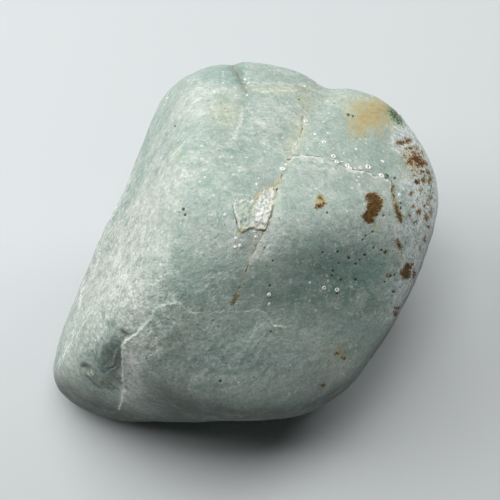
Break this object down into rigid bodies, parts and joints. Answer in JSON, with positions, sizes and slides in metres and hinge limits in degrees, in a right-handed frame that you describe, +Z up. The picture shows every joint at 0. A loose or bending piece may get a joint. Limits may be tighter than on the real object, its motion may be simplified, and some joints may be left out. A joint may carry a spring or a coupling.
{
  "type": "raw jade boulder",
  "caption": "Uncut river-worn boulder of pale grey-green jade, two-lobed on top, with a crack, scaled ledges, a pocket and a flat underside; stands as a display or carving rough",
  "frame": {"origin": "middle of the bounding box in X and Y, on the flat underside that it rests on", "axes": "+Z up; -Y is the front, and the show face looks up and forward out of it; +X is to the right as the show face is seen, towards the iron-stained side"},
  "size_m": [0.201, 0.1908, 0.1532],
  "materials": {
    "jade": "dull water-worn skin, mottled pale grey-green to white, with iron stains"
  },
  "bodies": {
    "root": {"jade_boulder": "jade"}
  },
  "joints": []
}
